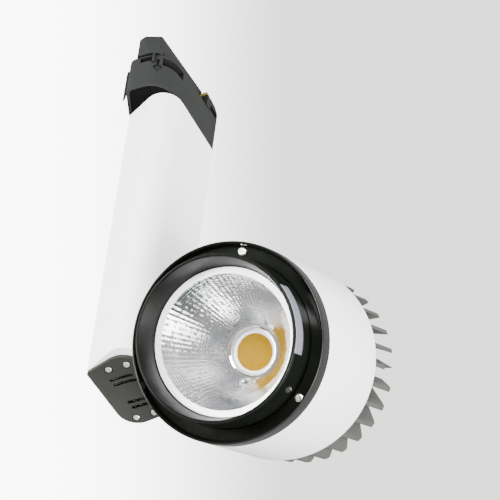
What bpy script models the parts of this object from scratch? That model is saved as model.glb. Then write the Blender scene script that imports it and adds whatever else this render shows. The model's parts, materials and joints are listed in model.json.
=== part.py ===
"""Track spotlight: a track adapter, a hanging driver box and a tilting round lamp head.

Metres, +Z up.  The origin is the middle of the adapter's flat top, where the track holds
the light, and everything hangs below it.  +X runs from the driver box to the lamp head,
and the head tilts about a line along X.
"""
import math

import bmesh
import bpy
from mathutils import Matrix, Vector

# ---------------------------------------------------------------- driving dimensions
GAP = 0.0003                      # clearance between pieces that touch
ADAPTER_HEIGHT = 0.040            # underside of the adapter to the top of its nose
HOUSING_HEIGHT = 0.025            # the adapter's wide lower part
ADAPTER_WALL = 0.0018
BOX_HEIGHT = 0.2069               # driver box with its end cap
BOX_WALL = 0.0016
CAP_THICKNESS = 0.0018
BOX_CENTRE = (-0.003, 0.012)      # swivel axis, from the middle of the nose

HEAD_RADIUS = 0.0492              # bezel and sleeve
HEAD_OFFSET = 0.068               # swivel axis to head axis, along X
HEAD_TILT = 40.0                  # degrees below the horizontal, towards -Y
PIVOT_Y = 0.0055                  # tilt axis from the swivel axis
PIVOT_UP = 0.0076                 # tilt axis above the end cap's face
RIM_AHEAD = 0.050                 # bezel's front plane ahead of the tilt axis
SNOOT_HEIGHT = 0.016
SNOOT_RADIUS = 0.0412
LIP_RADIUS = 0.0400
REFLECTOR_RIM = 0.0364
REFLECTOR_MOUTH = 0.0330
REFLECTOR_THROAT = 0.0126
EMITTER_DEPTH = 0.0380            # emitter's face behind the bezel's front plane
EMITTER_RADIUS = 0.0092
BEZEL_DEPTH = 0.0095
SLEEVE_REAR = 0.0770              # sleeve's rear edge behind the bezel's front plane
SLEEVE_WALL = 0.0017
SINK_REAR = 0.1125                # heat sink's rear behind the bezel's front plane
SINK_RADIUS = 0.0473
FIN_COUNT = 30
FIN_THICKNESS = 0.0020
FIN_SKEW = -27.5                  # degrees that the fins lean from radial
FIN_START = 44.5                  # where the first fin stands, in degrees
SHORT_FIN = -17.0                 # where the one short fin stands, in degrees
CORE_RADIUS = 0.0245

ROUND = 48                        # segments of a large round piece
SMALL = 20                        # segments of a small round piece

# Corners of the driver box's section: x, y, rounding radius.
BOX_CORNERS = (
    (-0.0163, -0.0180, 0.0010),
    (0.0130, -0.0328, 0.0105),
    (0.0163, 0.0185, 0.0012),
    (-0.0115, 0.0221, 0.0110),
)
# The end cap and the box's hollow leave the rounder corner thick.
CAP_CORNERS = (
    (-0.0163, -0.0180, 0.0010),
    (0.0118, -0.0268, 0.0120),
    (0.0163, 0.0185, 0.0012),
    (-0.0115, 0.0221, 0.0110),
)
# The adapter follows the box, with a longer round end.
ADAPTER_CORNERS = (
    (-0.0164, -0.0182, 0.0060),
    (-0.0109, -0.0349, 0.0045),
    (0.0120, -0.0349, 0.0150),
    (0.0163, 0.0190, 0.0012),
    (-0.0118, 0.0205, 0.0030),
)
NOSE_CORNERS = (
    (-0.0064, -0.0358, 0.0008),
    (-0.0026, -0.0371, 0.0030),
    (0.0060, -0.0340, 0.0018),
    (0.0109, 0.0084, 0.0015),
    (-0.0050, 0.0090, 0.0015),
    (-0.0090, -0.0303, 0.0015),
)
NOSE_DRAFT = 0.0014               # how far the nose's -Y end leans out towards its top
NOSE_WALL = 0.0024
LOCK_AXIS = (-0.0032, -0.0199)    # axis of the locking lever, from the swivel axis
LEVER_ANGLE = 219.0               # where the lever's grip stands, in degrees

# ---------------------------------------------------------------- scene and materials
for old in list(bpy.data.objects):
    bpy.data.objects.remove(old, do_unlink=True)


def finish(name, colour, roughness, metallic=0.0):
    """Make one named Principled material."""
    material = bpy.data.materials.new(name)
    material.use_nodes = True
    shader = material.node_tree.nodes["Principled BSDF"]
    shader.inputs["Base Color"].default_value = (*colour, 1.0)
    shader.inputs["Roughness"].default_value = roughness
    shader.inputs["Metallic"].default_value = metallic
    return material


ADAPTER_PLASTIC = finish("adapter_plastic", (0.085, 0.087, 0.080), 0.62)
CAP_PLASTIC = finish("cap_plastic", (0.082, 0.082, 0.076), 0.60)
WHITE_PAINT = finish("white_paint", (0.82, 0.82, 0.80), 0.45)
BLACK_GLOSS = finish("black_gloss", (0.008, 0.009, 0.008), 0.12)
BRIGHT_METAL = finish("bright_metal", (0.72, 0.73, 0.74), 0.18, 1.0)
STEEL = finish("steel", (0.62, 0.62, 0.60), 0.30, 1.0)
FIN_METAL = finish("fin_metal", (0.20, 0.205, 0.195), 0.50, 0.3)
BRASS = finish("brass", (0.70, 0.52, 0.20), 0.30, 1.0)
BOARD_GREEN = finish("board_green", (0.03, 0.18, 0.08), 0.50)
DARK_RESIN = finish("dark_resin", (0.03, 0.03, 0.03), 0.45)
CERAMIC = finish("ceramic", (0.80, 0.80, 0.78), 0.40)
PHOSPHOR = finish("phosphor", (0.85, 0.56, 0.03), 0.35)
PAD_GREY = finish("pad_grey", (0.35, 0.36, 0.38), 0.80)
YELLOW_TAPE = finish("yellow_tape", (0.75, 0.58, 0.10), 0.50)
CAPACITOR_SKIN = finish("capacitor_skin", (0.05, 0.06, 0.12), 0.35)
LINER = finish("liner", (0.78, 0.77, 0.70), 0.55)


def empty(name, place, tilt=0.0):
    """Add an empty that stands on a joint's axis, turned about X."""
    frame = bpy.data.objects.new(name, None)
    frame.location = place
    frame.rotation_euler = (math.radians(tilt), 0.0, 0.0)
    bpy.context.collection.objects.link(frame)
    return frame


ADAPTER_Z = -ADAPTER_HEIGHT
SWIVEL = empty("swivel_axis", (*BOX_CENTRE, ADAPTER_Z))
TILT = empty(
    "tilt_axis",
    (
        BOX_CENTRE[0] + HEAD_OFFSET,
        BOX_CENTRE[1] + PIVOT_Y,
        ADAPTER_Z - GAP - BOX_HEIGHT + PIVOT_UP,
    ),
    90.0 + HEAD_TILT,
)
LOCK = empty("lock_axis", (BOX_CENTRE[0] + LOCK_AXIS[0], BOX_CENTRE[1] + LOCK_AXIS[1], ADAPTER_Z))


# ---------------------------------------------------------------- building blocks
def place(name, mesh_source, material, parent, smooth=True):
    """Turn a bmesh into a named object under its parent."""
    bmesh.ops.recalc_face_normals(mesh_source, faces=mesh_source.faces)
    mesh = bpy.data.meshes.new(name)
    mesh_source.to_mesh(mesh)
    mesh_source.free()
    piece = bpy.data.objects.new(name, mesh)
    bpy.context.collection.objects.link(piece)
    piece.parent = parent
    if material:
        mesh.materials.append(material)
    if smooth:
        mesh.shade_smooth()
        mesh.set_sharp_from_angle(angle=math.radians(32))
    return piece


def combine(piece, tool, operation="DIFFERENCE", solver="EXACT"):
    """Cut or join with a wireframe tool object, which the build leaves out."""
    cutter = place(piece.name + "_tool_" + str(len(piece.modifiers)), tool, None, piece.parent, False)
    cutter.hide_render = True
    cutter.display_type = "WIRE"
    change = piece.modifiers.new(cutter.name, "BOOLEAN")
    change.operation = operation
    change.solver = solver
    change.object = cutter
    return cutter


def inset_corners(corners, depth):
    """Move every side of a convex outline inwards by depth."""
    moved = []
    count = len(corners)
    for index, (x, y, radius) in enumerate(corners):
        here = Vector((x, y))
        back = (Vector(corners[index - 1][:2]) - here).normalized()
        ahead = (Vector(corners[(index + 1) % count][:2]) - here).normalized()
        half = back.angle(ahead) / 2
        inward = (back + ahead).normalized() * (depth / math.sin(half))
        moved.append((x + inward.x, y + inward.y, max(radius - depth, 0.0)))
    return tuple(moved)


def rounded_outline(corners, steps=7):
    """Give the points of a convex outline whose corners are arcs."""
    points = []
    count = len(corners)
    for index, (x, y, radius) in enumerate(corners):
        here = Vector((x, y))
        if radius < 0.0002:
            points.append(here)
            continue
        back = (Vector(corners[index - 1][:2]) - here).normalized()
        ahead = (Vector(corners[(index + 1) % count][:2]) - here).normalized()
        half = back.angle(ahead) / 2
        centre = here + (back + ahead).normalized() * (radius / math.sin(half))
        first = here + back * (radius / math.tan(half)) - centre
        last = here + ahead * (radius / math.tan(half)) - centre
        turn = first.angle_signed(last)
        for step in range(steps + 1):
            spoke = first.copy()
            spoke.rotate(Matrix.Rotation(-turn * step / steps, 2))
            points.append(centre + spoke)
    return points


def prism(points, low, high):
    """Extrude a flat outline from z = low to z = high."""
    body = bmesh.new()
    ring = [body.verts.new((point[0], point[1], low)) for point in points]
    face = body.faces.new(ring)
    lifted = bmesh.ops.extrude_face_region(body, geom=[face])
    verts = [item for item in lifted["geom"] if isinstance(item, bmesh.types.BMVert)]
    bmesh.ops.translate(body, verts=verts, vec=(0.0, 0.0, high - low))
    return body


def block(low, high):
    """Make a box from two opposite corners."""
    outline = ((low[0], low[1]), (high[0], low[1]), (high[0], high[1]), (low[0], high[1]))
    return prism(outline, low[2], high[2])


def slab(profile, left, right):
    """Extrude a flat outline of (y, z) points from x = left to x = right."""
    body = prism(profile, left, right)
    axes = Matrix(((0, 0, 1, 0), (1, 0, 0, 0), (0, 1, 0, 0), (0, 0, 0, 1)))
    bmesh.ops.transform(body, matrix=axes, verts=body.verts)
    return body


def turned(profile, steps=ROUND):
    """Spin a closed profile of (radius, z) points about Z."""
    body = bmesh.new()
    verts = [body.verts.new((radius, 0.0, z)) for radius, z in profile]
    edges = [body.edges.new((verts[i], verts[(i + 1) % len(verts)])) for i in range(len(verts))]
    bmesh.ops.spin(
        body,
        geom=verts + edges,
        cent=(0.0, 0.0, 0.0),
        axis=(0.0, 0.0, 1.0),
        angle=math.tau,
        steps=steps,
        use_merge=True,
    )
    bmesh.ops.remove_doubles(body, verts=body.verts, dist=1e-7)
    on_axis = [e for e in body.edges if not e.link_faces]
    bmesh.ops.delete(body, geom=on_axis, context="EDGES")
    slivers = [f for f in body.faces if f.calc_area() < 1e-14]
    bmesh.ops.delete(body, geom=slivers, context="FACES")
    return body


def disc(radius, low, high, steps=SMALL, centre=(0.0, 0.0)):
    """Make a plain round bar along Z."""
    return prism(arc_points(radius, 0, 360, steps, centre)[:-1], low, high)


def between(outer, inner, low, high):
    """Make a prism with a hole from two outlines that have the same number of points."""
    body = bmesh.new()
    loops = []
    for outline, z in ((outer, low), (outer, high), (inner, high), (inner, low)):
        loops.append([body.verts.new((x, y, z)) for x, y in outline])
    count = len(outer)
    for first, second in ((0, 1), (1, 2), (2, 3), (3, 0)):
        for i in range(count):
            j = (i + 1) % count
            body.faces.new((loops[first][i], loops[first][j], loops[second][j], loops[second][i]))
    return body


def hex_nut(flat_radius, bore, low, high, steps=24):
    """Make a six-sided nut with a round bore."""
    outer = []
    for step in range(steps):
        angle = math.tau * step / steps
        off_flat = (angle + math.pi / 6) % (math.pi / 3) - math.pi / 6
        reach = flat_radius / math.cos(off_flat)
        outer.append((reach * math.cos(angle), reach * math.sin(angle)))
    return between(outer, arc_points(bore, 0, 360, steps)[:-1], low, high)


def ring(outer, inner, low, high, steps=SMALL):
    """Make a flat washer or a plain tube about Z."""
    return turned(((outer, low), (outer, high), (inner, high), (inner, low)), steps)


def along_x(body, x=0.0, y=0.0, z=0.0):
    """Turn a body from Z to lie along X, then move it."""
    turn = Matrix.Rotation(math.radians(90), 4, "Y")
    bmesh.ops.transform(body, matrix=Matrix.Translation((x, y, z)) @ turn, verts=body.verts)
    return body


def moved(body, x=0.0, y=0.0, z=0.0):
    """Shift a body."""
    bmesh.ops.translate(body, verts=body.verts, vec=(x, y, z))
    return body


def arc_points(radius, first, last, steps, centre=(0.0, 0.0)):
    """Give points along an arc, angles in degrees."""
    points = []
    for step in range(steps + 1):
        angle = math.radians(first + (last - first) * step / steps)
        points.append((centre[0] + radius * math.cos(angle), centre[1] + radius * math.sin(angle)))
    return points


def sector(inner, outer, first, last, low, high, steps=14, centre=(0.0, 0.0)):
    """Make part of a ring between two angles in degrees."""
    out = arc_points(outer, first, last, steps, centre)
    back = arc_points(inner, last, first, steps, centre)
    return prism(out + back, low, high)


# ---------------------------------------------------------------- track adapter
COVER_THICKNESS = 0.0020
CONTACT_LOW = 0.0345
CONTACT_HIGH = 0.0368
STOP_TOP = 0.0341
# Outline of the shallow pointer mark beside the vent.
POINTER = (
    (-0.0007, 0.0082),
    (-0.0008, 0.0034),
    (-0.0024, 0.0026),
    (-0.0021, 0.0006),
    (0.0, -0.0026),
    (0.0021, 0.0006),
    (0.0024, 0.0026),
    (0.0008, 0.0034),
    (0.0007, 0.0082),
)
SLOT_LOW = 0.0175
SLOT_HIGH = 0.0225
SPINDLE_RADIUS = 0.0050
LOCK_PIN_RADIUS = 0.0016
VENT_LOW = 0.0168
VENT_HIGH = 0.0232
COVER_SCREWS = ((-0.0080, 0.0140), (0.0072, -0.0190))


def make_housing():
    """Wide lower shell, open underneath, with the lever's slot and the vents."""
    housing = place(
        "adapter_housing",
        prism(rounded_outline(ADAPTER_CORNERS), 0.0, HOUSING_HEIGHT),
        ADAPTER_PLASTIC,
        SWIVEL,
    )
    inner = rounded_outline(inset_corners(ADAPTER_CORNERS, ADAPTER_WALL))
    combine(housing, prism(inner, -0.001, HOUSING_HEIGHT - ADAPTER_WALL))
    combine(housing, sector(0.0118, 0.0195, 312, 366, VENT_LOW, VENT_HIGH, centre=LOCK_AXIS))
    combine(housing, sector(0.0090, 0.0190, 152, 229, SLOT_LOW, SLOT_HIGH, centre=LOCK_AXIS))
    window_low = (-0.0045, -0.0370, 0.0200)
    window_high = (0.0023, -0.0320, HOUSING_HEIGHT - ADAPTER_WALL + 0.0004)
    combine(housing, block(window_low, window_high))
    pointer = prism(POINTER, -0.0003, 0.0040)
    turn = Matrix.Rotation(math.radians(28), 4, "Z") @ Matrix.Rotation(math.radians(90), 4, "X")
    bmesh.ops.transform(pointer, matrix=turn, verts=pointer.verts)
    moved(pointer, 0.0050, -0.0325, 0.0130)
    combine(housing, pointer)
    combine(housing, block((0.0027, -0.0353, 0.0182), (0.0037, -0.0335, HOUSING_HEIGHT - 0.0002)), "UNION")
    combine(housing, disc(LOCK_PIN_RADIUS + GAP, 0.015, 0.030, 16, LOCK_AXIS))
    for spot_xy in COVER_SCREWS:
        boss_top = HOUSING_HEIGHT - 0.0010
        combine(housing, disc(0.0024, COVER_THICKNESS + GAP, boss_top, 16, spot_xy), "UNION")
        combine(housing, disc(0.0013, 0.0, 0.0120, 12, spot_xy))
    return housing


def make_nose():
    """Narrow upper shell that stands in the track, open underneath."""
    low = HOUSING_HEIGHT + GAP
    end = -0.0372
    nose = place(
        "adapter_nose",
        prism(rounded_outline(NOSE_CORNERS, 5), low, ADAPTER_HEIGHT),
        ADAPTER_PLASTIC,
        SWIVEL,
    )
    lean = (
        (end - 0.0050, low - 0.0010),
        (end + NOSE_DRAFT, low - 0.0010),
        (end, ADAPTER_HEIGHT + 0.0010),
        (end - 0.0050, ADAPTER_HEIGHT + 0.0010),
    )
    combine(nose, slab(lean, -0.0150, 0.0150))
    inner = rounded_outline(inset_corners(NOSE_CORNERS, NOSE_WALL), 5)
    combine(nose, prism(inner, low - 0.0010, ADAPTER_HEIGHT - ADAPTER_WALL))
    slot_low = (-0.0120, 0.0054, CONTACT_LOW - 0.0006)
    slot_high = (0.0180, 0.0110, CONTACT_HIGH + 0.0006)
    combine(nose, block(slot_low, slot_high))
    combine(nose, block((0.0050, -0.0310, 0.0277), (0.0095, -0.0297, 0.0290)))
    return nose


def make_tail():
    """Raised stop block at the straight end of the housing."""
    low = HOUSING_HEIGHT + GAP
    profile = (
        (0.0094, low),
        (0.0189, low),
        (0.0189, 0.0302),
        (0.0183, 0.0318),
        (0.0150, STOP_TOP),
        (0.0094, STOP_TOP),
    )
    stop = place("adapter_stop", slab(profile, -0.0095, 0.0158), ADAPTER_PLASTIC, SWIVEL)
    combine(stop, block((0.0123, 0.0062, low), (0.0157, 0.0100, STOP_TOP - 0.0001)), "UNION")
    combine(stop, block((0.0125, 0.0104, 0.0262), (0.0180, 0.0176, 0.0302)))
    return stop


def make_cover():
    """Plate that closes the housing and carries the swivel spindle."""
    outline = rounded_outline(inset_corners(ADAPTER_CORNERS, ADAPTER_WALL + GAP))
    cover = place("adapter_cover", prism(outline, 0.0, COVER_THICKNESS), ADAPTER_PLASTIC, SWIVEL)
    combine(cover, disc(SPINDLE_RADIUS + GAP, -0.001, 0.004, 24))
    for number, (x, y) in enumerate(COVER_SCREWS, 1):
        combine(cover, disc(0.0013, -0.001, 0.004, 12, (x, y)))
        combine(cover, disc(0.0025, -0.001, 0.0010, 16, (x, y)))
        seat = (x, y, 0.0012)
        make_screw("cover_screw_%d" % number, SWIVEL, seat, 0.0010, 0.0021, -0.0010, 0.0075)
    return cover


def make_screw(name, parent, at, shank, head, head_low, shank_high, upward=True):
    """Pan-head screw with a cross recess; its head points down unless told otherwise."""
    way = 1.0 if upward else -1.0
    profile = (
        (0.0, head_low * way),
        (head * 0.72, head_low * way),
        (head, (head_low + 0.0003) * way),
        (head, -0.0003 * way),
        (shank, -0.0003 * way),
        (shank, shank_high * way),
        (0.0, shank_high * way),
    )
    screw = place(name, moved(turned(profile, 16), *at), STEEL, parent)
    recess = min((head_low - 0.0004) * way, (head_low + 0.0004) * way)
    reach = max((head_low - 0.0004) * way, (head_low + 0.0004) * way)
    size = head * 0.5
    bar = head * 0.13
    combine(screw, moved(block((-size, -bar, recess), (size, bar, reach)), *at))
    combine(screw, moved(block((-bar, -size, recess), (bar, size, reach)), *at))
    return screw


def make_contacts():
    """Brass blades that reach out of the nose to the track's conductors."""
    for name, root, edge in (("contact_live", 0.0046, 0.0148), ("contact_neutral", 0.0020, -0.0085)):
        side = 1.0 if edge > root else -1.0
        low_x, high_x = sorted((root, edge))
        tab = block((low_x, 0.0062, CONTACT_LOW), (high_x, 0.0100, CONTACT_HIGH))
        blade = place(name, tab, BRASS, SWIVEL, False)
        low_x, high_x = sorted((root, root + side * 0.0022))
        combine(blade, block((low_x, -0.0030, CONTACT_LOW), (high_x, 0.0070, CONTACT_HIGH - 0.0001)), "UNION")
    place(
        "contact_carrier",
        block((-0.0010, -0.0060, HOUSING_HEIGHT + 0.0006), (0.0064, 0.0050, CONTACT_LOW - GAP)),
        LINER,
        SWIVEL,
        False,
    )


def make_lock():
    """Lever, pin and cam that turn together to hold the adapter in the track."""
    low = SLOT_LOW + GAP
    high = SLOT_HIGH - GAP
    arm = math.radians(LEVER_ANGLE)
    lever = place("lock_lever", ring(0.0048, LOCK_PIN_RADIUS + GAP, low, high, 24), ADAPTER_PLASTIC, LOCK)
    bar = block((0.0040, -0.0015, low), (0.0146, 0.0015, high))
    bmesh.ops.rotate(bar, verts=bar.verts, cent=(0, 0, 0), matrix=Matrix.Rotation(arm, 3, "Z"))
    combine(lever, bar, "UNION")
    grip = sector(0.0139, 0.0150, LEVER_ANGLE - 6.5, LEVER_ANGLE + 6.5, 0.0008, high - 0.0001, 3)
    combine(lever, grip, "UNION")
    place("lock_pin", disc(LOCK_PIN_RADIUS, 0.0080, 0.0290, 16), STEEL, LOCK)
    cam_points = [
        (0.0018 * math.cos(math.tau * i / 20), 0.0021 * math.sin(math.tau * i / 20)) for i in range(20)
    ]
    place("lock_cam", prism(cam_points, 0.0290 + GAP, 0.0330), LINER, LOCK)


# ---------------------------------------------------------------- swivel and driver box
BOX_TOP = -GAP
BOX_LOW = BOX_TOP - BOX_HEIGHT
PLATE_THICKNESS = 0.0030
CAP_SCREWS = tuple((x, y) for y in (-0.0167, 0.0167) for x in (-0.0049, 0.0049))
PIVOT_BORE = 0.0044
PIVOT_Z = BOX_LOW + PIVOT_UP


def make_swivel():
    """Hollow spindle, friction washer and nut between the adapter and the box."""
    spindle = turned(
        (
            (SPINDLE_RADIUS, 0.0075),
            (SPINDLE_RADIUS, -0.0033),
            (0.0085, -0.0036),
            (0.0085, -0.0056),
            (0.0032, -0.0056),
            (0.0032, 0.0075),
        ),
        24,
    )
    place("swivel_spindle", spindle, STEEL, SWIVEL)
    place(
        "swivel_washer",
        ring(0.0078, SPINDLE_RADIUS + GAP, COVER_THICKNESS + GAP, COVER_THICKNESS + 0.0011, 24),
        LINER,
        SWIVEL,
    )
    seat = COVER_THICKNESS + 0.0014
    nut = hex_nut(0.0066, SPINDLE_RADIUS + GAP, seat, seat + 0.0034)
    place("swivel_nut", nut, STEEL, SWIVEL, False)


def make_box():
    """Extruded driver box, open at both ends, with its top plate and end cap."""
    tube = place(
        "driver_box",
        prism(rounded_outline(BOX_CORNERS, 9), BOX_LOW + CAP_THICKNESS + GAP, BOX_TOP),
        WHITE_PAINT,
        SWIVEL,
    )
    inner = inset_corners(CAP_CORNERS, BOX_WALL)
    combine(tube, prism(rounded_outline(inner, 9), BOX_LOW - 0.001, BOX_TOP + 0.001))
    combine(tube, along_x(disc(PIVOT_BORE, 0.0, 0.0140, 24), 0.0080, PIVOT_Y, PIVOT_Z))

    fitted = rounded_outline(inset_corners(CAP_CORNERS, BOX_WALL + GAP), 6)
    plate = place("top_plate", prism(fitted, BOX_TOP - PLATE_THICKNESS, BOX_TOP - GAP), STEEL, SWIVEL)
    combine(plate, disc(SPINDLE_RADIUS + GAP, -0.010, 0.004, 24))

    cap = place(
        "end_cap",
        prism(rounded_outline(CAP_CORNERS, 9), BOX_LOW, BOX_LOW + CAP_THICKNESS),
        CAP_PLASTIC,
        SWIVEL,
    )
    for x, y in CAP_SCREWS:
        combine(cap, disc(0.0014, BOX_LOW - 0.001, BOX_LOW + 0.004, 12, (x, y)))
        combine(cap, disc(0.0021, BOX_LOW - 0.001, BOX_LOW + 0.0007, 16, (x, y)))
    for first, last, y in VENTS:
        combine(cap, stadium(first, last, y, VENT_WIDTH, BOX_LOW - 0.001, BOX_LOW + 0.004))
    for number, (x, y) in enumerate(CAP_SCREWS, 1):
        seat = (x, y, BOX_LOW + 0.0007 + GAP)
        make_screw("end_cap_screw_%d" % number, SWIVEL, seat, 0.0011, 0.0017, -0.0012, 0.0080)


VENT_WIDTH = 0.0022
VENTS = (
    (-0.0074, 0.0055, -0.0100),
    (-0.0068, 0.0060, -0.0065),
    (-0.0050, 0.0059, 0.0062),
    (-0.0044, 0.0066, 0.0099),
)


def stadium(first, last, y, width, low, high):
    """Make a bar with round ends, for a vent."""
    radius = width / 2
    right = arc_points(radius, -90, 90, 4, (last - radius, y))
    left = arc_points(radius, 90, 270, 4, (first + radius, y))
    return prism(right + left, low, high)


def make_driver():
    """LED driver: its board and the large parts that stand on it."""
    face = -0.0045
    bottom = BOX_LOW + 0.0300
    top = BOX_TOP - 0.0200
    middle = (bottom + top) / 2
    back = face - 0.0019
    front = face + GAP
    blocks = (
        ("driver_board", BOARD_GREEN, (face - 0.0016, -0.0150, bottom), (face, 0.0140, top)),
        ("insulating_sheet", LINER, (back - 0.0024, -0.0140, bottom), (back, 0.0115, top)),
        ("transformer_core", DARK_RESIN, (front, -0.0120, middle - 0.011), (0.0095, 0.0100, middle + 0.011)),
        ("switch_transistor", DARK_RESIN, (front, -0.013, middle - 0.034), (0.0003, -0.003, middle - 0.019)),
        ("input_terminal", LINER, (front, -0.0080, top - 0.0110), (0.0038, 0.0080, top - 0.0010)),
        ("output_terminal", LINER, (front, -0.0060, bottom + 0.0010), (0.0028, 0.0060, bottom + 0.0100)),
    )
    for name, material, low, high in blocks:
        place(name, block(low, high), material, SWIVEL, False)
    rounds = (
        ("input_capacitor", CAPACITOR_SKIN, 0.0060, middle + 0.0200, 0.0220, (0.0020, -0.0040)),
        ("output_capacitor", CAPACITOR_SKIN, 0.0055, middle - 0.0400, 0.0200, (0.0015, 0.0030)),
        ("input_choke", YELLOW_TAPE, 0.0050, middle + 0.0500, 0.0140, (0.0010, 0.0020)),
    )
    for name, material, radius, low, height, centre in rounds:
        place(name, disc(radius, low, low + height, 24, centre), material, SWIVEL)


def wall_x(y):
    """X of the box's outer face on the head's side, at height y of the section."""
    lower = Vector(BOX_CORNERS[1][:2])
    upper = Vector(BOX_CORNERS[2][:2])
    share = (y - lower.y) / (upper.y - lower.y)
    return lower.x + share * (upper.x - lower.x)


# ---------------------------------------------------------------- tilt pivot
def make_pivot():
    """Bush in the box's wall; bolt, washers and nut that turn with the head."""
    face = wall_x(PIVOT_Y + 0.0055) + GAP
    inner = wall_x(PIVOT_Y - 0.0060) - BOX_WALL - 0.0004
    bush = turned(
        (
            (0.0056, 0.0),
            (0.0056, 0.0016),
            (0.0031 + GAP, 0.0016),
            (0.0031 + GAP, inner - face - 0.0010),
            (PIVOT_BORE - GAP, inner - face - 0.0010),
            (PIVOT_BORE - GAP, 0.0),
        ),
        24,
    )
    place("pivot_bush", along_x(bush, face, PIVOT_Y, PIVOT_Z), BRASS, SWIVEL)

    bolt_head = inner - 0.0018 - HEAD_OFFSET
    sleeve_inner = -(HEAD_RADIUS - SLEEVE_WALL)
    bolt = turned(
        (
            (0.0056, bolt_head - 0.0026),
            (0.0056, bolt_head),
            (0.0031, bolt_head),
            (0.0031, sleeve_inner + 0.0062),
            (0.0017, sleeve_inner + 0.0062),
            (0.0017, bolt_head - 0.0026),
        ),
        24,
    )
    place("pivot_bolt", along_x(bolt), STEEL, TILT)
    seat = face + 0.0016 + GAP - HEAD_OFFSET
    friction = ring(0.0054, 0.0031 + GAP, seat, -HEAD_RADIUS - 0.0002, 24)
    place("friction_washer", along_x(friction), STEEL, TILT)
    nut = hex_nut(0.0049, 0.0031 + GAP, sleeve_inner + 0.0014, sleeve_inner + 0.0050)
    place("pivot_nut", along_x(nut), STEEL, TILT, False)


# ---------------------------------------------------------------- lamp head, along local +Z
BEZEL_PLATE = 0.0026
BEZEL_SEAT = RIM_AHEAD - 0.0048   # floor of the bezel's channel, where its screws sit
BEZEL_SCREW_RADIUS = 0.04475
BEZEL_SCREW_ANGLES = (69.8, 189.8, 309.8)
SINK_FACE = RIM_AHEAD - 0.0405
FIN_FRONT = RIM_AHEAD - 0.0590
FLANGE_FRONT = RIM_AHEAD - 0.0566
SINK_SCREW_RADIUS = 0.0415
SINK_SCREW_ANGLES = (0.0, 120.0, 240.0)


def spot(radius, angle, z=0.0):
    """Point at a radius and an angle in degrees about the head's axis."""
    turn = math.radians(angle)
    return (radius * math.cos(turn), radius * math.sin(turn), z)


def make_bezel():
    """Black front ring: a raised rim, a channel for the screws, and a skirt behind."""
    rim = RIM_AHEAD
    bezel = turned(
        (
            (SNOOT_RADIUS + GAP, BEZEL_SEAT),
            (0.0471, BEZEL_SEAT),
            (0.0474, BEZEL_SEAT + 0.0015),
            (0.0481, rim - 0.0004),
            (0.0485, rim),
            (HEAD_RADIUS - 0.0003, rim - 0.0003),
            (HEAD_RADIUS, rim - 0.0010),
            (HEAD_RADIUS, rim - BEZEL_DEPTH),
            (0.0476, rim - BEZEL_DEPTH),
            (0.0476, BEZEL_SEAT - BEZEL_PLATE),
            (SNOOT_RADIUS + GAP, BEZEL_SEAT - BEZEL_PLATE),
        ),
        64,
    )
    piece = place("bezel", bezel, BLACK_GLOSS, TILT)
    for number, angle in enumerate(BEZEL_SCREW_ANGLES, 1):
        at = spot(BEZEL_SCREW_RADIUS, angle, BEZEL_SEAT)
        combine(piece, disc(0.0013, BEZEL_SEAT - 0.0040, BEZEL_SEAT + 0.0010, 12, at[:2]))
        make_screw("bezel_screw_%d" % number, TILT, at, 0.0010, 0.0021, -0.0012, 0.0102, False)


def make_snoot():
    """Black cylinder that stands in the bezel, with a flange behind the bezel's plate."""
    rim = RIM_AHEAD
    flange_top = BEZEL_SEAT - BEZEL_PLATE - GAP
    flange_low = flange_top - 0.0023
    snoot = turned(
        (
            (SNOOT_RADIUS, flange_top),
            (SNOOT_RADIUS, rim),
            (LIP_RADIUS + 0.0007, rim + SNOOT_HEIGHT - 0.0006),
            (LIP_RADIUS + 0.0001, rim + SNOOT_HEIGHT),
            (LIP_RADIUS - 0.0006, rim + SNOOT_HEIGHT - 0.0006),
            (REFLECTOR_RIM + GAP, rim + 0.0020),
            (REFLECTOR_RIM + GAP, rim - GAP),
            (0.0352, rim - GAP),
            (0.0352, flange_low),
            (0.0430, flange_low),
            (0.0430, flange_top),
        ),
        64,
    )
    place("snoot", snoot, BLACK_GLOSS, TILT)


def make_sleeve():
    """White round housing with the ring flange that holds the heat sink."""
    front = RIM_AHEAD - BEZEL_DEPTH - GAP
    rear = RIM_AHEAD - SLEEVE_REAR
    inside = HEAD_RADIUS - SLEEVE_WALL
    flange = FLANGE_FRONT
    sleeve = turned(
        (
            (HEAD_RADIUS, front),
            (HEAD_RADIUS, rear),
            (inside, rear),
            (inside, flange - 0.0020),
            (0.0385, flange - 0.0020),
            (0.0385, flange),
            (inside, flange),
            (inside, front),
        ),
        64,
    )
    piece = place("sleeve", sleeve, WHITE_PAINT, TILT)
    combine(piece, along_x(disc(0.0031 + GAP, 0.0, 0.0060, 24), -HEAD_RADIUS - 0.0020, 0.0, 0.0))
    for angle in SINK_SCREW_ANGLES:
        x, y, z = spot(SINK_SCREW_RADIUS, angle)
        combine(piece, disc(0.0017, flange - 0.004, flange + 0.002, 12, (x, y)))
    for angle in BEZEL_SCREW_ANGLES:
        combine(piece, bezel_lug(angle, front), "UNION")
        x, y, z = spot(BEZEL_SCREW_RADIUS, angle)
        combine(piece, disc(0.0013, front - 0.0070, front + 0.0010, 12, (x, y)))


def bezel_lug(angle, front):
    """Lug inside the sleeve that takes one bezel screw."""
    x, y, z = spot(BEZEL_SCREW_RADIUS, angle)
    return disc(0.0033, front - 0.0085, front - 0.0006, 16, (x, y))


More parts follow.
